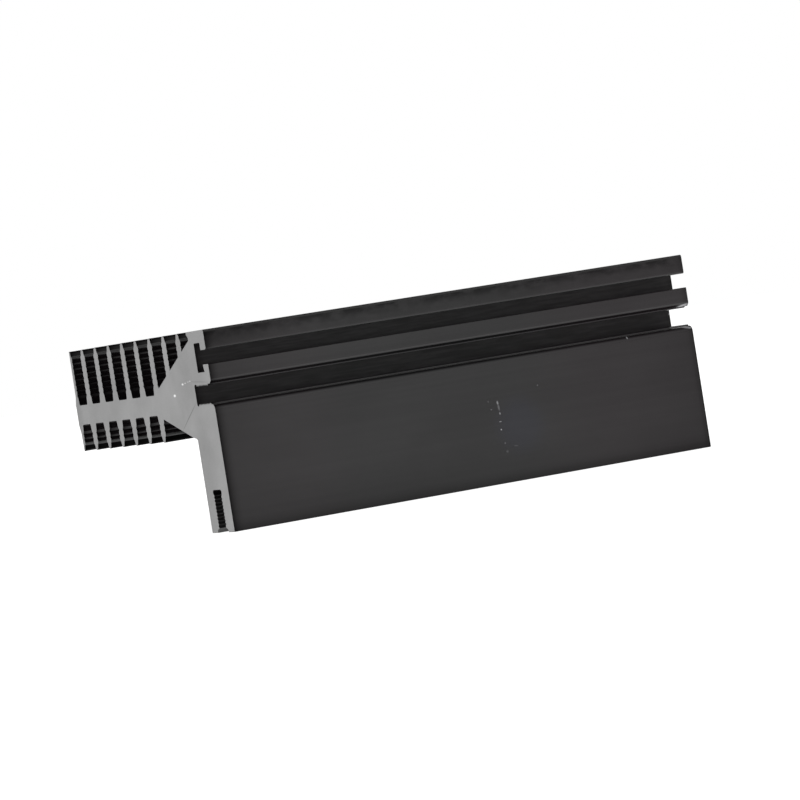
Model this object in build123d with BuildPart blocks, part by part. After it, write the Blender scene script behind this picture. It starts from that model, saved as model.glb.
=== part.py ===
from build123d import *
import os

# Extruded aluminium heat sink for one power transistor on a circuit board.
# The profile is pushed through a die as a long bar, anodised and then sawn to length, so the whole
# object is one section carried along X. In the section, y runs from the front face of the plate
# towards the fins, and z runs up from the foot of the plate.

# Bar and plate
length = 75.0
height = 27.9
plate_thickness = 7.9

# Web that carries the fins
web_bottom = 17.0
web_thickness = 2.85

# Where the fins stand, and how far the lower ones reach down
fin_pitch = 5.32
first_fin_y = 9.53
upper_fins = 9
lower_fins = 7
lower_fin_foot = 13.1

# One fin: a thick root, beads on both sides and a narrow tip
fin_root_width = 2.1
fin_root_height = 1.3
fin_root_round = 0.3
fin_shoulder_width = 1.9
bead_pitch = 0.82
bead_width = 1.7
bead_groove_width = 1.36
tip_height = 0.85
tip_root_width = 1.2
tip_width = 0.84
tip_crown = 0.25

# Outermost fin, which has a plain outer side and only about half of the width
edge_reach = 0.46
edge_fin_half = 0.03
edge_tip_lean = 0.13
edge_round = 0.25

# Head above the web
head_top_width = 6.2
head_neck_width = 5.7
head_brow = 0.4
head_slope_drop = 1.2
underside_width = 9.35
underside_rise = 0.3

# T-slot for the clip that presses the transistor on the plate
clip_slot_z = 24.17
clip_slot_mouth = 2.0
clip_slot_height = 4.05
clip_slot_depth = 4.0
clip_lip_thickness = 1.9
clip_lip_undercut = 0.3

# Channels that take M3 screws: one opens through the front of the head, one through the plate's foot
screw_pitch = 0.5
channel_width = 2.4
thread_depth = 0.22
first_rib_front = 0.16
pocket_height = 0.78
pocket_width = 3.0
pocket_round = 0.35
front_channel_z = 19.08
front_channel_depth = 6.08
front_channel_lead = 1.0
foot_channel_depth = 5.94
foot_channel_lead = 0.6

# Mouths of the channels
front_mouth_round = 0.8
front_mouth_bevel_depth = 0.5
front_mouth_bevel_height = 0.4
foot_mouth_width = 3.8
foot_mouth_depth = 0.35

# Rounded edges and corners
top_edge_round = 0.35
foot_edge_round = 0.2
overhang_round = 0.3
lip_round = 0.15
slot_corner_round = 0.2
knee_round = 0.45

# Places worked out from the sizes above
web_top = web_bottom + web_thickness
web_middle = web_bottom + web_thickness / 2
last_fin_y = first_fin_y + fin_pitch * (upper_fins - 1)
edge_y = last_fin_y + edge_reach
slope_end_y = first_fin_y + fin_pitch * (upper_fins - lower_fins) + fin_root_width / 2
channel_root = channel_width / 2 + thread_depth

# How far a cutting shape runs out past the surface that it cuts
overrun = 1.0

# The frame: X along the bar, Y towards the fins and Z up, with the origin at mid length in the
# middle of the plate's foot, where the foot channel opens
section_plane = Plane(origin=(-length / 2, -plate_thickness / 2, 0), x_dir=(0, 1, 0), z_dir=(1, 0, 0))


def corner(sketch, y, z):
    """The corner of a sketch that lies nearest to a place in the section."""
    return sketch.vertices().sort_by_distance((y, z, 0))[0]


def fin(floor, tip):
    """One fin about y = 0 that stands on the web's surface at floor and ends at tip."""
    way = 1 if tip > floor else -1
    beads = int((abs(tip - floor) - tip_height - fin_root_height) / bead_pitch)
    tip_root = tip - way * tip_height
    crown = tip - way * tip_crown
    first_groove = tip_root - way * beads * bead_pitch
    root, groove = fin_root_width / 2, bead_groove_width / 2
    with BuildSketch() as outline:
        with BuildLine():
            foot = (root + fin_root_round, floor)
            flank = (root, floor + way * fin_root_round)
            Polyline((0, web_middle), (root + fin_root_round, web_middle), foot)
            RadiusArc(foot, flank, way * fin_root_round)
            shoulder = (fin_shoulder_width / 2, first_groove - way * bead_pitch / 2)
            Polyline(flank, shoulder, (groove, first_groove))
            for bead in range(beads):
                start = first_groove + way * bead * bead_pitch
                end = start + way * bead_pitch
                ThreePointArc((groove, start), (bead_width / 2, (start + end) / 2), (groove, end))
            Polyline((groove, tip_root), (tip_root_width / 2, tip_root), (tip_width / 2, crown))
            mirror(about=Plane.YZ)
            ThreePointArc((tip_width / 2, crown), (0, tip), (-tip_width / 2, crown))
        make_face()
    return outline.sketch


def screw_channel(depth, lead):
    """A channel about y = 0 that opens at z = 0 and ends at depth, with thread ribs on both walls.

    The ribs of one wall stand half a pitch from those of the other, as the thread of a screw does.
    The first rib of each wall has a low upright front, and the channel ends in a plain pocket that
    is wider than the thread.
    """
    ribs = int((depth - pocket_height - lead) / screw_pitch)
    pocket = depth - pocket_height
    start = pocket - ribs * screw_pitch
    flank = screw_pitch / 2
    crest = channel_width / 2
    front = channel_root - first_rib_front
    right = [(channel_root, -overrun), (channel_root, start - flank), (front, start - flank)]
    left = [(-channel_root, -overrun), (-channel_root, start), (-front, start)]
    for rib in range(ribs):
        z = start + rib * screw_pitch
        right += [(crest, z), (channel_root, z + flank)]
        left += [(-crest, z + flank), (-channel_root, z + screw_pitch)]
    right += [(crest, pocket), (pocket_width / 2, pocket + flank)]
    left.append((-pocket_width / 2, pocket + flank))
    with BuildSketch() as outline:
        with BuildLine():
            Polyline(*right, (pocket_width / 2, depth), (-pocket_width / 2, depth), left[-1])
            Polyline(right[0], *left)
        make_face()
        fillet(outline.vertices().group_by(Axis.Y)[-1], pocket_round)
    return outline.sketch


# Lead-in at the mouth of the foot channel, about y = 0
with BuildSketch() as lead_in:
    with BuildLine():
        Polyline(
            (-foot_mouth_width / 2, -overrun),
            (-foot_mouth_width / 2, foot_mouth_depth),
            (-channel_root, foot_channel_lead),
            (channel_root, foot_channel_lead),
            (foot_mouth_width / 2, foot_mouth_depth),
            (foot_mouth_width / 2, -overrun),
            close=True,
        )
    make_face()

# Plate, head and web, with the slots that are cut into them
with BuildSketch() as body:
    with BuildLine():
        Polyline(
            (0, 0),
            (0, height),
            (head_top_width, height),
            (head_top_width, height - head_brow),
            (head_neck_width, height - 2 * head_brow),
            (head_neck_width, height - head_slope_drop),
            (slope_end_y, web_top),
            (edge_y, web_top),
            (edge_y, web_bottom),
            (slope_end_y, web_bottom),
            (underside_width, lower_fin_foot + underside_rise),
            (plate_thickness, lower_fin_foot),
            (plate_thickness, 0),
            close=True,
        )
    make_face()
    fillet(corner(body, 0, height), top_edge_round)
    fillet(corner(body, plate_thickness, lower_fin_foot), knee_round)
    fillet([corner(body, 0, 0), corner(body, plate_thickness, 0)], foot_edge_round)

    # T-slot, with the inside of its lower lip leaning outwards
    with BuildSketch(mode=Mode.SUBTRACT) as clip_slot:
        with BuildLine():
            Polyline(
                (-overrun, clip_slot_z - clip_slot_mouth / 2),
                (clip_lip_thickness, clip_slot_z - clip_slot_mouth / 2),
                (clip_lip_thickness - clip_lip_undercut, clip_slot_z - clip_slot_height / 2),
                (clip_slot_depth, clip_slot_z - clip_slot_height / 2),
                (clip_slot_depth, clip_slot_z + clip_slot_height / 2),
                (clip_lip_thickness, clip_slot_z + clip_slot_height / 2),
                (clip_lip_thickness, clip_slot_z + clip_slot_mouth / 2),
                (-overrun, clip_slot_z + clip_slot_mouth / 2),
                close=True,
            )
        make_face()
        fillet(clip_slot.vertices().group_by(Axis.X)[-1], slot_corner_round)
    mouth_bottom = clip_slot_z - clip_slot_mouth / 2
    mouth_top = clip_slot_z + clip_slot_mouth / 2
    inner_edges = [corner(body, clip_lip_thickness, z) for z in (mouth_bottom, mouth_top)]
    fillet([corner(body, 0, mouth_bottom), *inner_edges], lip_round)
    fillet(corner(body, 0, mouth_top), overhang_round)

    # Channel across the head, with a rounded lower edge and a bevelled upper one
    with Locations(Location((0, front_channel_z, 0), (0, 0, -90))):
        add(screw_channel(front_channel_depth, front_channel_lead), mode=Mode.SUBTRACT)
    fillet(corner(body, 0, front_channel_z - channel_root), front_mouth_round)
    bevel_edge = corner(body, 0, front_channel_z + channel_root)
    chamfer(bevel_edge, front_mouth_bevel_depth, front_mouth_bevel_height)
    bevel_top = corner(body, 0, front_channel_z + channel_root + front_mouth_bevel_height)
    fillet(bevel_top, overhang_round)

    # Channel up the foot of the plate, with a wide lead-in
    with Locations((plate_thickness / 2, 0)):
        add(screw_channel(foot_channel_depth, foot_channel_lead), mode=Mode.SUBTRACT)
        add(lead_in.sketch, mode=Mode.SUBTRACT)

# What is left off the outer side of the last fin
with BuildSketch() as beyond_edge:
    fin_side = last_fin_y + edge_fin_half
    outside = last_fin_y + fin_pitch
    with BuildLine():
        Polyline(
            (outside, height + overrun),
            (fin_side - edge_tip_lean, height + overrun),
            (fin_side - edge_tip_lean, height),
            (fin_side, web_top + fin_root_height),
            (edge_y, web_top),
            (edge_y, web_bottom),
            (fin_side, web_bottom - fin_root_height),
            (fin_side - edge_tip_lean, lower_fin_foot),
            (fin_side - edge_tip_lean, lower_fin_foot - overrun),
            (outside, lower_fin_foot - overrun),
            close=True,
        )
    make_face()

# The whole section
with BuildSketch() as section:
    add(body.sketch)
    with Locations(*[(first_fin_y + fin_pitch * place, 0) for place in range(upper_fins)]):
        add(fin(web_top, height))
    with Locations(*[(last_fin_y - fin_pitch * place, 0) for place in range(lower_fins)]):
        add(fin(web_bottom, lower_fin_foot))
    add(beyond_edge.sketch, mode=Mode.SUBTRACT)
    fillet([corner(section, edge_y, web_top), corner(section, edge_y, web_bottom)], edge_round)

# The bar, sawn square at both ends
with BuildPart() as heat_sink:
    with BuildSketch(section_plane):
        add(section.sketch)
    extrude(amount=length)

heat_sink.part.label = "heat_sink"

os.makedirs("parts", exist_ok=True)
export_step(heat_sink.part, "parts/heat_sink.step")
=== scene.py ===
# %% [markdown]
# # A black extruded heat sink
#
# A heat sink of this kind starts as a long aluminium bar that is pushed through a die, so its section is
# the same everywhere. The bar is anodised black and then sawn to length. So two finishes meet on it: the
# dyed oxide skin on everything that the die shaped, and bare metal on the two sawn ends.
#
# The CAD model already holds every edge of the section, down to the beads on the fins. What is left for
# Blender is the looks: the two finishes, a few marks of handling, the light and the camera.

import math

import bmesh
import bpy
from mathutils import Matrix, Vector


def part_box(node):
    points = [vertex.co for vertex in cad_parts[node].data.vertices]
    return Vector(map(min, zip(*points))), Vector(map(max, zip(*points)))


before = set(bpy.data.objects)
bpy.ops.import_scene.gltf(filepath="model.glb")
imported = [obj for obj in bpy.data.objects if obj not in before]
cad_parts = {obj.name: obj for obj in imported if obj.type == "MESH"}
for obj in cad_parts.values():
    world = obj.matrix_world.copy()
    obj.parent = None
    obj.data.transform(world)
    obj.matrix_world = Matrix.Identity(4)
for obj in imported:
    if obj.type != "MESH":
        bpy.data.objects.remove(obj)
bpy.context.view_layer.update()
heat_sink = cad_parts["heat_sink"]
low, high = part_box("heat_sink")
MM = 0.001
print("bar", [round(size / MM, 2) for size in high - low], "mm")

# %% [markdown]
# ## The camera
#
# The picture was taken with a long lens from well back, a little to the left of the plate's face, and
# the camera was rolled by nine degrees, so the level bar climbs to the right. A camera is placed most
# simply by four things: where it stands, its heading, its tilt and its roll. The turns are multiplied in
# that order, starting from a camera that looks along +Y with its top towards +Z.

# %% Camera
camera_place = Vector((-0.26267, -0.54808, 0.02588))
camera_heading = math.radians(24.916)
camera_tilt = math.radians(-1.134)
camera_roll = math.radians(-9.005)

camera = bpy.data.objects.new("camera", bpy.data.cameras.new("camera"))
bpy.context.scene.collection.objects.link(camera)
camera.data.sensor_width = 36.0
camera.data.lens = 194.72
level = Matrix.Rotation(math.radians(90), 4, "X")
turned = Matrix.Rotation(-camera_heading, 4, "Z") @ Matrix.Rotation(camera_tilt, 4, "X") @ level
camera.matrix_world = Matrix.Translation(camera_place) @ turned @ Matrix.Rotation(camera_roll, 4, "Z")
bpy.context.scene.camera = camera
print("camera", round(camera_place.length / MM), "mm from the foot of the plate")

# %% [markdown]
# ## Building materials from small helpers
#
# A material is a graph of nodes. Written out link by link it is long, so a few helpers keep it short.
# The first two add a node and fill in its inputs. An input that is a socket becomes a link, and one that
# is a number becomes a fixed value.

# %% Nodes and their inputs
def set_input(tree, socket, value):
    """Link a socket to an input, or write a plain value into it."""
    if isinstance(value, bpy.types.NodeSocket):
        tree.links.new(value, socket)
    else:
        socket.default_value = value


def node(tree, kind, inputs=None, **settings):
    """Add a node of a kind, with its settings and its inputs by name or number."""
    made = tree.nodes.new(kind)
    for name, value in settings.items():
        setattr(made, name, value)
    for name, value in (inputs or {}).items():
        set_input(tree, made.inputs[name], value)
    return made


print("nodes can be added")

# %% [markdown]
# A mask is a value that is 1 where a mark or a finish lies and 0 elsewhere. Masks are multiplied to keep
# only where they overlap, and the strongest of several is taken to join them. Where dark edges meet in a
# corner, each one should darken what the others leave, so those are layered.

# %% Arithmetic on masks
def math_node(tree, operation, *values):
    """Arithmetic on one, two or three values."""
    inputs = dict(enumerate(values))
    return node(tree, "ShaderNodeMath", inputs, operation=operation).outputs[0]


def times(tree, *values):
    """Several values multiplied together."""
    product = values[0]
    for value in values[1:]:
        product = math_node(tree, "MULTIPLY", product, value)
    return product


def strongest(tree, masks):
    """The largest of several masks at each point."""
    total = masks[0]
    for mask in masks[1:]:
        total = math_node(tree, "MAXIMUM", total, mask)
    return total


def layered(tree, masks):
    """Several masks together, where each one takes its share of what the others leave."""
    left = math_node(tree, "SUBTRACT", 1.0, masks[0])
    for mask in masks[1:]:
        left = times(tree, left, math_node(tree, "SUBTRACT", 1.0, mask))
    return math_node(tree, "SUBTRACT", 1.0, left)


print("masks can be joined")

# %% [markdown]
# Most masks here follow a distance, such as the height above the foot, and a Map Range node turns that
# distance into a soft step. Distances on the bar are easiest to read in millimetres, so ramp, band and
# fade take them so. A band is two steps back to back, and a fade is a shade that is deepest at an edge.

# %% Soft steps along a distance
def remap(tree, value, start, end, at_start=0.0, at_end=1.0):
    """Turn the range start to end smoothly into at_start to at_end, held beyond both."""
    inputs = {"Value": value, "From Min": start, "From Max": end, "To Min": at_start, "To Max": at_end}
    return node(tree, "ShaderNodeMapRange", inputs, interpolation_type="SMOOTHSTEP").outputs[0]


def ramp(tree, distance, start, end, at_start=0.0, at_end=1.0):
    """A soft step between two places along a distance, in millimetres."""
    return remap(tree, distance, start * MM, end * MM, at_start, at_end)


def band(tree, distance, low_edge, low_full, high_full, high_edge):
    """1 between the two full places along a distance and 0 beyond the two edges, in millimetres."""
    rising = ramp(tree, distance, low_edge, low_full)
    falling = ramp(tree, distance, high_edge, high_full)
    return times(tree, rising, falling)


def fade(tree, distance, reach, most):
    """The value most at no distance, that falls as a square to 0 at reach millimetres."""
    inputs = {"Value": distance, "From Min": reach * MM, "From Max": 0.0}
    share = node(tree, "ShaderNodeMapRange", inputs).outputs[0]
    return times(tree, share, share, most)


print("steps, bands and fades ready")

# %% [markdown]
# Last, a mask has to choose between two things, and a Mix node does that for colours and for numbers.

# %% Blends
def mix_colour(tree, share, first, second):
    """Blend from the first colour to the second."""
    made = node(tree, "ShaderNodeMix", data_type="RGBA")
    for socket, value in ((0, share), (6, first), (7, second)):
        set_input(tree, made.inputs[socket], value)
    return made.outputs[2]


def mix_value(tree, share, first, second):
    """Blend from the first number to the second."""
    made = node(tree, "ShaderNodeMix", data_type="FLOAT")
    for socket, value in ((0, share), (2, first), (3, second)):
        set_input(tree, made.inputs[socket], value)
    return made.outputs[0]


def grey(strength):
    """A colour with no tint, as bright as strength."""
    return (strength, strength, strength, 1.0)


print("blends ready")

# %% [markdown]
# ## Grain
#
# A die drags fine lines along the bar, and the saw leaves fine lines across its ends. They could be an
# image, but noise needs none and has no seams. It is stretched: squeezed hard across the lines and hardly
# at all along them. The Mapping node's scale does that, on the object's own coordinates, so the lines lie
# on the metal from every side.

# %% Stretched noise
def grain(tree, place, cells, detail=2.0, turn=(0.0, 0.0, 0.0)):
    """Noise with so many cells to the metre along each axis."""
    stretched = node(tree, "ShaderNodeMapping", {"Vector": place, "Rotation": turn, "Scale": cells})
    inputs = {"Vector": stretched.outputs[0], "Scale": 1.0, "Detail": detail, "Roughness": 0.55}
    return node(tree, "ShaderNodeTexNoise", inputs).outputs[0]


print("grain ready")

# %% [markdown]
# ## Marks of handling
#
# The bar in the picture is new, but not spotless. Its specks, nicks and scratches could be painted on an
# image, but there are few of them, so each is one soft-edged ellipse, given by its middle, its size and
# its turn in the plane of the face. A mark only shows on its own face, because the ellipse is also thin
# in the third direction.

# %% Soft-edged ellipses
def ellipse(tree, place, middle, size, turn=(0.0, 0.0, 0.0)):
    """1 in the middle of an ellipsoid and 0 outside it, with its middle and sizes in millimetres."""
    moved = node(
        tree,
        "ShaderNodeMapping",
        {
            "Vector": place,
            "Location": [step * MM for step in middle],
            "Rotation": [math.radians(angle) for angle in turn],
            "Scale": [extent / 2 * MM for extent in size],
        },
        vector_type="TEXTURE",
    )
    away = node(tree, "ShaderNodeVectorMath", {0: moved.outputs[0]}, operation="LENGTH").outputs["Value"]
    return remap(tree, away, 1.0, 0.35)


print("marks ready")

# %% [markdown]
# ## The finish
#
# Skin and bare metal could be two materials, but they meet at a sharp edge that only depends on the place
# along the bar. So one material serves the whole bar, and every mask in it is worked out from how far a
# point lies from the bar's ends, front, back, top and foot.

# %% Distances on the bar
finish = bpy.data.materials.new("anodised_aluminium")
finish.use_nodes = True
tree = finish.node_tree
tree.nodes.clear()
place = node(tree, "ShaderNodeTexCoord").outputs["Object"]
along, across, up = node(tree, "ShaderNodeSeparateXYZ", {0: place}).outputs
from_near_end = math_node(tree, "SUBTRACT", along, low.x)
from_far_end = math_node(tree, "SUBTRACT", high.x, along)
from_front = math_node(tree, "SUBTRACT", across, low.y)
from_back = math_node(tree, "SUBTRACT", high.y, across)
from_top = math_node(tree, "SUBTRACT", high.z, up)
print("distances run between", [round(side / MM, 2) for side in (*low, *high)], "mm")

# %% Sawn ends
saw_cut = high.x - 0.01 * MM
sawn = math_node(tree, "GREATER_THAN", math_node(tree, "ABSOLUTE", along), saw_cut)
print("bare metal beyond", round(saw_cut / MM, 2), "mm from the middle")

# %% [markdown]
# ## The skin inside the head
#
# Little light gets into the T-slot and the screw channel, and the die leaves a coarser surface there. A
# mask for these depths lets the skin be rougher in them, with a livelier sheen.

# %% Inside the channels of the head
channel_start, channel_end = 2.5, 6.6
deep = ramp(tree, from_front, 1.5, channel_start)
before_fins = ramp(tree, from_front, 7.0, channel_end)
above_plate = ramp(tree, up, 16.5, 17.3)
inside = times(tree, deep, before_fins, above_plate)
print("inside from", channel_start, "to", channel_end, "mm behind the front")

# %% [markdown]
# ## Painted shade at the edges
#
# Towards the edges of the bar the skin gets a painted shade: its colour is darkened and its sheen dies
# away.
# It could be modelled as a wider rounding, but the section's roundings are measured, so it is a painted
# shade in the finish instead: deepest at the edge, and falling to nothing a few millimetres away. Along
# the head's top edge the painted shade is uneven, and noise makes it so.

# %% Painted shade at the top and foot
top_shade, foot_shade = 3.3, 9.0
lightest, deepest = 0.5, 1.5
on_front = ramp(tree, from_front, 0.6, 0.4)
patchy = remap(tree, grain(tree, place, (500.0, 500.0, 900.0), 3.0), 0.35, 0.65, lightest, deepest)
uneven = mix_value(tree, on_front, 1.0, patchy)
painted_top_shade = times(tree, fade(tree, from_top, top_shade, 0.55), uneven)
painted_foot_shade = [fade(tree, up, 2.0, 0.45), fade(tree, up, foot_shade, 0.2)]
print("shades", top_shade, "mm down from the top and", foot_shade, "mm up from the foot")

# %% Painted shade at the ends and the near top corner
near_shade, far_shade = 18.0, 26.0
painted_near_end_shade = [fade(tree, from_near_end, 1.8, 0.85), fade(tree, from_near_end, near_shade, 0.14)]
on_plate = ramp(tree, up, 18.2, 17.0)
painted_far_end_shade = [
    fade(tree, from_far_end, 1.5, 0.40),
    times(tree, fade(tree, from_far_end, far_shade, 0.16), on_plate),
    times(tree, fade(tree, from_far_end, 12.0, 0.4), inside),
]
near_top_corner = (low.x / MM, low.y / MM, high.z / MM)
painted_corner_shade = times(tree, ellipse(tree, place, near_top_corner, (34.0, 3.0, 7.0)), 0.24)
print("shades", near_shade, "mm in from the near end and", far_shade, "mm in from the far end")

# %% [markdown]
# ## Between the fins
#
# Each fin ends in a plain narrow tip beyond its last bead. The tip gets a painted shade, and the bead
# beside
# it a painted highlight, a pale rung. Both are bands at a height, kept to the sides that face another fin:
# the outermost fin's outer side is plain and stays as it is.

# %% Painted shade on the tips and painted highlights on the rungs
fins_start = 44.6
among_fins = ramp(tree, from_back, fins_start, 44.2)
inner_sides = times(tree, among_fins, ramp(tree, from_back, 0.7, 0.9))
upper_tips = ramp(tree, from_top, 0.75, 0.65, 0.0, 0.30)
lower_tips = ramp(tree, up, 14.0, 13.9, 0.0, 0.92)
painted_tip_shade = times(tree, inner_sides, strongest(tree, [upper_tips, lower_tips]))
upper_rung = band(tree, from_top, 0.70, 0.80, 1.05, 1.15)
lower_rung = band(tree, up, 13.95, 14.0, 14.3, 14.4)
painted_rung_highlights = times(tree, inner_sides, strongest(tree, [upper_rung, lower_rung]))
print("fins start", fins_start, "mm from the back")

# %% [markdown]
# ## Painted highlights and shade along the edges
#
# Pale bands of painted highlight lie along the head's top edge, the lower edges of the T-slot's two lips
# and the lip of the plate below the front channel, and painted light from below lies in the mouth of the
# channel in the foot and on its ribs. The bevel above the front channel gets a painted shade. Each of
# these runs along the whole bar, so a band at its height is enough to draw it.

# %% Painted highlight on the top edge
top_highlight_depth = 0.42
top_edge = times(tree, ramp(tree, from_top, top_highlight_depth, 0.12), on_front)
painted_top_highlight = times(tree, top_edge, remap(tree, uneven, lightest, deepest, 0.3, 1.0))
# The pale band on the top edge is a painted highlight.
print("top edge worn on its last", top_highlight_depth, "mm")

# %% Painted highlights on the lower edges of the T-slot's lips
low_lip_edge = (20.92, 20.97, 21.04, 21.10)
high_lip_edge = (25.13, 25.17, 25.28, 25.36)
lip_edges = [band(tree, up, *heights) for heights in (low_lip_edge, high_lip_edge)]
painted_lip_highlights = times(tree, strongest(tree, lip_edges), on_front)
# The pale lines on the lips' lower edges are painted highlights.
print("rubbed edges at", low_lip_edge[1], "and", high_lip_edge[1], "mm above the foot")

# %% Painted highlight on the lip and painted shade on the bevel of the front channel
lip_heights = (17.53, 17.61, 17.66, 17.72)
bevel_heights = (20.54, 20.62, 20.76, 20.84)
on_mouth = ramp(tree, from_front, 1.0, 0.9)
painted_mouth_highlight = times(tree, band(tree, up, *lip_heights), on_mouth)
painted_bevel_shade = times(tree, band(tree, up, *bevel_heights), on_mouth, 0.5)
# The pale lip is a painted highlight, and the dark bevel a painted shade.
print("rubbed lip from", lip_heights[0], "to", lip_heights[-1], "mm above the foot")
print("dark bevel from", bevel_heights[0], "to", bevel_heights[-1], "mm above the foot")

# %% Painted light from below in the mouth of the foot channel
lead_in_top, ribs_top = 0.66, 5.6
off_middle = math_node(tree, "ABSOLUTE", across)
lead_in = times(tree, ramp(tree, off_middle, 2.1, 2.0), ramp(tree, up, lead_in_top, 0.50))
painted_rib_light = times(tree, ramp(tree, off_middle, 1.7, 1.6), ramp(tree, up, ribs_top, 4.4))
print("lead-in paler up to", lead_in_top, "mm and ribs paler up to", ribs_top, "mm")

# %% [markdown]
# The painted shade at the edges is now layered into one mask. It is used twice further on: it darkens the
# colour, and it takes the sheen away.

# %% All the painted shade together
painted_end_shades = [*painted_near_end_shade, *painted_far_end_shade, painted_corner_shade]
painted_shades = [painted_top_shade, *painted_foot_shade, *painted_end_shades, painted_tip_shade, painted_bevel_shade]
edges = layered(tree, painted_shades)
print("dark edges", len(painted_shades))

# %% [markdown]
# ## Marks on the plate's face
#
# A short trail of pale specks runs down the face, with the faint bluish bloom of a wiped spot beside it.
# They differ in strength, so they come in groups of equal strength, each speck as its place along the bar
# and up the plate, its width, its height and its turn.

# %% Specks on the plate
face = low.y / MM
speck_groups = (
    (1.0, [(4.84, 7.56, 0.28, 0.28, 0)]),
    (0.6, [(4.90, 11.35, 0.36, 0.75, -4), (5.02, 9.82, 0.32, 0.42, 0), (4.90, 8.68, 0.52, 0.2, 0)]),
    (0.25, [(4.97, 10.70, 0.4, 1.3, -4), (3.79, 10.55, 0.35, 0.25, 0)]),
    (0.25, [(5.12, 5.60, 0.3, 0.35, 0), (11.52, 12.86, 0.3, 0.25, 0)]),
    (0.12, [(3.49, 11.73, 0.3, 0.4, 0), (5.27, 4.40, 0.5, 0.5, 0), (6.74, 4.98, 0.9, 0.2, 9)]),
)
specks = []
for strength, group in speck_groups:
    spots = [
        ellipse(tree, place, (x, face, z), (width, 0.4, tall), (0, turn, 0))
        for x, z, width, tall, turn in group
    ]
    specks.append(times(tree, strongest(tree, spots), strength))
bloom = ellipse(tree, place, (7.85, face, 7.75), (10.0, 2.0, 10.5))
print("specks on the plate", sum(len(group) for strength, group in speck_groups))

# %% [markdown]
# The saw leaves burrs where the far end meets the lips of the front channel: bright slivers of bare
# metal. They are too thin to change the outline, so they are marks as well. A chip and a worn line lie
# beside them, and one fleck sits further in on the plate's lip.

# %% Burrs at the far end
rail_burr = ellipse(tree, place, (36.55, face + 0.25, 20.60), (2.7, 1.4, 0.55), (0, -12, 0))
plate_burr = ellipse(tree, place, (36.75, face + 0.2, 17.45), (2.4, 1.2, 0.4), (0, 13, 0))
worn_line = ellipse(tree, place, (34.9, face + 0.5, 17.75), (2.2, 1.4, 0.4))
chip = ellipse(tree, place, (37.4, face + 6.05, 19.7), (0.4, 0.6, 0.5))
fleck = ellipse(tree, place, (26.87, face + 0.2, 17.39), (0.3, 1.2, 0.5))
burrs = [
    rail_burr,
    times(tree, plate_burr, 0.8),
    times(tree, strongest(tree, [worn_line, chip]), 0.45),
    times(tree, fleck, 0.9),
]
bare_specks = strongest(tree, [*specks, *burrs])
print("burrs and flecks", len(burrs))

# %% [markdown]
# ## Marks on the near sawn end
#
# Four bright nicks lie in a row just above the front channel, and a fifth lies lower down behind it. A
# faint scratch runs on from the row to the front, and a hairline goes from the channel down to the
# underside of the web. Each nick is its place across the section and up it, its width, its height and
# its strength.

# %% Marks on the near sawn end
end = low.x / MM
nick_rows = (
    (9.76, 19.45, 1.1, 0.5, 0.8),
    (6.26, 20.87, 0.9, 0.4, 0.65),
    (5.25, 20.98, 0.8, 0.25, 0.35),
    (4.2, 21.1, 0.6, 0.2, 0.35),
    (3.5, 21.17, 0.9, 0.25, 0.35),
)
nicks = [
    times(tree, ellipse(tree, place, (end, y, z), (0.4, width, tall)), strength)
    for y, z, width, tall, strength in nick_rows
]
bright_nicks = strongest(tree, nicks)
hairline = ellipse(tree, place, (end, 5.52, 16.35), (0.4, 9.5, 0.22), (-29.6, 0, 0))
scratch = ellipse(tree, place, (end, 0.3, 20.92), (0.4, 9.0, 0.32), (3.3, 0, 0))
print("nicks on the sawn end", len(nicks), "with a hairline and a scratch")

# %% [markdown]
# ## Colour of the skin
#
# Black anodising is never quite neutral: this one turns a little warm towards both ends of the bar. The
# masks are then laid over it one by one, the painted shade first, so that the painted highlights and the
# painted light show on top of it. The blacks are deep, because most of what is seen of such a skin is
# its sheen.

# %% Colour of the skin
neutral_black, warm_black = (0.0058, 0.0054, 0.0057, 1.0), (0.0076, 0.0052, 0.0062, 1.0)
bluish_black = (0.0072, 0.0073, 0.0112, 1.0)
warm_far_end = ramp(tree, along, 4.0, 24.0)
warm_near_end = ramp(tree, along, -16.0, -26.0, 0.0, 0.6)
warm = strongest(tree, [warm_far_end, warm_near_end])
skin = mix_colour(tree, warm, neutral_black, warm_black)
skin = mix_colour(tree, bloom, skin, bluish_black)
# First comes the painted shade, then painted highlights on the rungs, the top edge and the lips, and
# painted light from below on the ribs and lead-in of the foot channel.
skin_layers = (
    (edges, 0.001),
    (painted_rung_highlights, 0.04),
    (painted_top_highlight, 0.038),
    (painted_mouth_highlight, 0.055),
    (painted_lip_highlights, 0.018),
    (painted_rib_light, 0.010),
    (lead_in, 0.08),
)
for mask, strength in skin_layers:
    skin = mix_colour(tree, mask, skin, grey(strength))
skin = mix_colour(tree, times(tree, bare_specks, 0.8), skin, (0.32, 0.32, 0.33, 1.0))
print("layers on the skin", len(skin_layers))

# %% [markdown]
# ## Colour of the sawn metal
#
# A saw cut scatters most of what falls on it, so it is mid grey, with soft clouds where the blade bit
# more or less. Noise with large cells makes those. The metal is a little duller on the back half of the
# plate and at the outermost fin.

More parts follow.
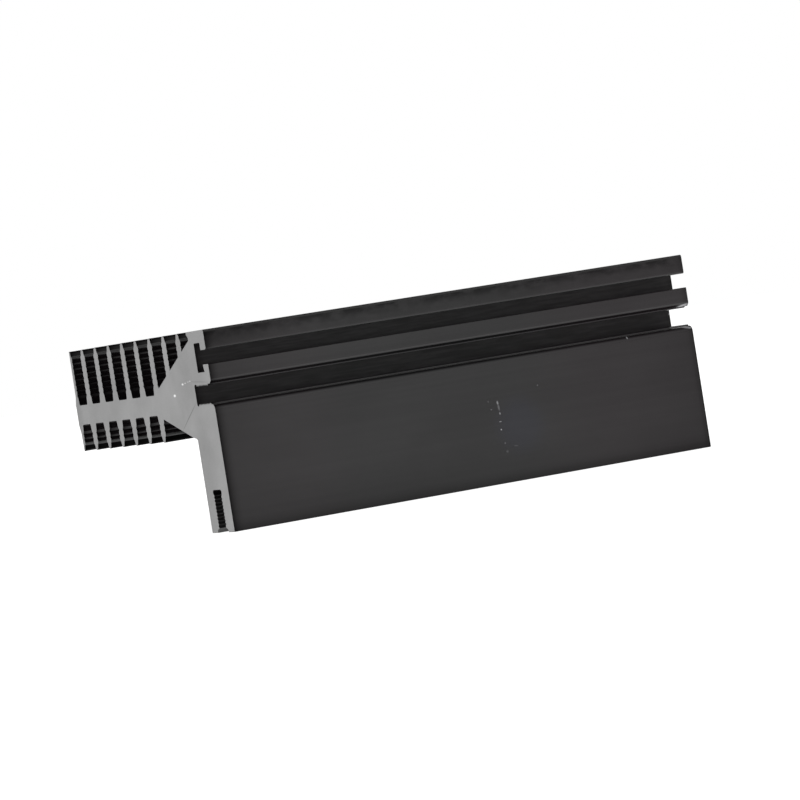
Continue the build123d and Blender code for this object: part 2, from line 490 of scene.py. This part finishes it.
# %% Colour of the sawn metal
dark_cloud, pale_cloud = 0.200, 0.322
clouds = grain(tree, place, (60.0, 140.0, 140.0), 3.0)
metal = mix_colour(tree, clouds, grey(dark_cloud), grey(pale_cloud))
dull_back = times(tree, ramp(tree, from_front, 2.5, 7.0, 0.0, 0.10), ramp(tree, up, 15.0, 12.0))
dull_tip = ramp(tree, from_back, 3.0, 1.0, 0.0, 0.12)
metal = mix_colour(tree, layered(tree, [dull_back, dull_tip]), metal, grey(0.0))
metal = mix_colour(tree, bright_nicks, metal, grey(0.85))
metal = mix_colour(tree, times(tree, scratch, 0.3), metal, grey(0.12))
metal = mix_colour(tree, times(tree, hairline, 0.85), metal, grey(0.12))
colour = mix_colour(tree, sawn, skin, metal)
print("clouds on the metal from", dark_cloud, "to", pale_cloud)

# %% [markdown]
# ## Roughness and relief
#
# The die's lines make the skin smooth and rough by turns, and the saw's lines do so on the ends, much more
# coarsely. The same lines also raise the surface by a hair, so that the sheen breaks up along the bar.

# %% Roughness and relief
relief_height = 0.02
saw_angle = 8
saw_turn = (math.radians(saw_angle), 0.0, 0.0)
die_lines = grain(tree, place, (12.0, 2600.0, 2600.0), 3.0)
saw_lines = grain(tree, place, (800.0, 900.0, 9000.0), 3.0, saw_turn)
smooth_lines = mix_value(tree, inside, 0.22, 0.50)
rough_lines = mix_value(tree, inside, 0.29, 0.60)
skin_roughness = mix_value(tree, die_lines, smooth_lines, rough_lines)
metal_roughness = mix_value(tree, saw_lines, 0.48, 0.62)
roughness = mix_value(tree, sawn, skin_roughness, metal_roughness)
relief = mix_value(tree, sawn, die_lines, saw_lines)
bump = node(tree, "ShaderNodeBump", {"Strength": 0.12, "Distance": relief_height * MM, "Height": relief})
print("relief", relief_height, "mm high, with the saw's lines turned by", saw_angle, "degrees")

# %% [markdown]
# ## Sheen
#
# How much light the skin mirrors is the specular level. It follows the die's lines too, with broad
# patches on the faces and short dashes inside the channels, and it dies away under the painted shade at
# the edges.

# %% Sheen
dull_sheen, bright_sheen = 0.305, 0.405
dull_lines = mix_value(tree, inside, dull_sheen, 0.25)
bright_lines = mix_value(tree, inside, bright_sheen, 0.49)
patches = remap(tree, grain(tree, place, (70.0, 70.0, 140.0)), 0.3, 0.7, 0.95, 1.05)
dashes = remap(tree, grain(tree, place, (260.0, 2600.0, 2600.0)), 0.35, 0.65, 0.86, 1.16)
broken_up = mix_value(tree, inside, patches, dashes)
sheen = times(tree, mix_value(tree, die_lines, dull_lines, bright_lines), broken_up)
sheen = mix_value(tree, edges, sheen, 0.0)
sheen = mix_value(tree, sawn, sheen, 0.4)
print("sheen on the faces from", dull_sheen, "to", bright_sheen)

# %% [markdown]
# ## Putting the finish together
#
# One Principled shader takes it all. The sawn mask is also its metallic input, because the skin is an
# oxide, which mirrors like glass, and the metal below it mirrors in its own colour.

# %% Shader
shader = node(
    tree,
    "ShaderNodeBsdfPrincipled",
    {
        "Base Color": colour,
        "Roughness": roughness,
        "Metallic": sawn,
        "Specular IOR Level": sheen,
        "Normal": bump.outputs[0],
    },
)
node(tree, "ShaderNodeOutputMaterial", {0: shader.outputs[0]})
for slot in heat_sink.material_slots:
    slot.material = finish
print("finish has", len(tree.nodes), "nodes")

# %% [markdown]
# ## Floor
#
# The bar stands on a plain sheet of white paper. A matt surface alone would show as grey, so it also
# glows: the camera sees it close to white, and what it sends up on to the bar is set apart from that. It
# sends less from the right, which, with the painted shade at that end, is why the bar's far end is a
# little darker.

# %% Floor
floor_mesh = bpy.data.meshes.new("floor")
sheet = bmesh.new()
bmesh.ops.create_grid(sheet, x_segments=1, y_segments=1, size=2.0)
sheet.to_mesh(floor_mesh)
sheet.free()
floor = bpy.data.objects.new("floor", floor_mesh)
bpy.context.scene.collection.objects.link(floor)
print("floor", [round(side, 1) for side in floor.dimensions], "m")

# %% Paper
seen_glow, left_glow, right_glow = 0.87, 1.20, 0.60
paper = bpy.data.materials.new("white_paper")
paper.use_nodes = True
tree = paper.node_tree
tree.nodes.clear()
seen = node(tree, "ShaderNodeLightPath").outputs["Is Camera Ray"]
matt = node(tree, "ShaderNodeBsdfDiffuse", {"Color": grey(0.5)})
spot = node(tree, "ShaderNodeTexCoord").outputs["Object"]
rightwards = node(tree, "ShaderNodeSeparateXYZ", {0: spot}).outputs[0]
unseen_glow = remap(tree, rightwards, 0.20, 0.80, left_glow, right_glow)
glow = node(tree, "ShaderNodeEmission", {"Strength": mix_value(tree, seen, unseen_glow, seen_glow)})
both = node(tree, "ShaderNodeAddShader", {0: matt.outputs[0], 1: glow.outputs[0]})
node(tree, "ShaderNodeOutputMaterial", {0: both.outputs[0]})
floor_mesh.materials.append(paper)
print("paper glows", seen_glow, "to the camera and", left_glow, "to", right_glow, "to the bar")

# %% [markdown]
# ## Surroundings
#
# The camera sees a white surround. What lights the bar, and shows in its sheen, is a studio: a wall that
# is brightest between about 15 and 40 degrees up, a dark ceiling overhead, and less light from the right.
# The dark ceiling, with the painted shade along the top, makes the upper edges of the black bar dark,
# while its upright faces stay grey.
# The direction of a ray gives both: its third part is the sine of how far up it points.

# %% Surroundings
horizon, wall_middle, ceiling_share, right_share = 0.75, 1.3, 0.03, 0.6
world = bpy.data.worlds.new("studio")
world.use_nodes = True
bpy.context.scene.world = world
tree = world.node_tree
tree.nodes.clear()
rays = node(tree, "ShaderNodeLightPath").outputs
direction = node(tree, "ShaderNodeTexCoord").outputs["Generated"]
sideways, _, height = node(tree, "ShaderNodeSeparateXYZ", {0: direction}).outputs
wall = remap(tree, height, 0.02, 0.25, horizon, wall_middle)
ceiling = remap(tree, height, 0.62, 0.92, 1.0, ceiling_share)
to_the_right = remap(tree, sideways, 0.36, 0.62, 1.0, right_share)
unseen = times(tree, wall, ceiling, to_the_right)
brightness = mix_value(tree, rays["Is Camera Ray"], unseen, 1.0)
background = node(tree, "ShaderNodeBackground", {"Color": grey(1.0), "Strength": brightness})
node(tree, "ShaderNodeOutputWorld", {0: background.outputs[0]})
print("surround", horizon, "at the horizon and", wall_middle, "on the wall")

# %% [markdown]
# ## Lamp
#
# One weak, large panel in front of the bar fills its channels softly. It is low, so that it shines into
# them, and large, so that it throws no hard shadow.

# %% Lamp
lamp = bpy.data.objects.new("soft_panel", bpy.data.lights.new("soft_panel", "AREA"))
bpy.context.scene.collection.objects.link(lamp)
lamp.data.size = 0.8
lamp.data.energy = 1.0
lamp.location = (0.05, -0.95, 0.12)
lamp.rotation_euler = (-Vector(lamp.location)).to_track_quat("-Z", "Y").to_euler()
print("lamp", lamp.data.energy, "W")

# %% [markdown]
# ## Finish
#
# Colours are shown as they are, through the standard view transform.

# %% View transform
bpy.context.scene.view_settings.view_transform = "Standard"
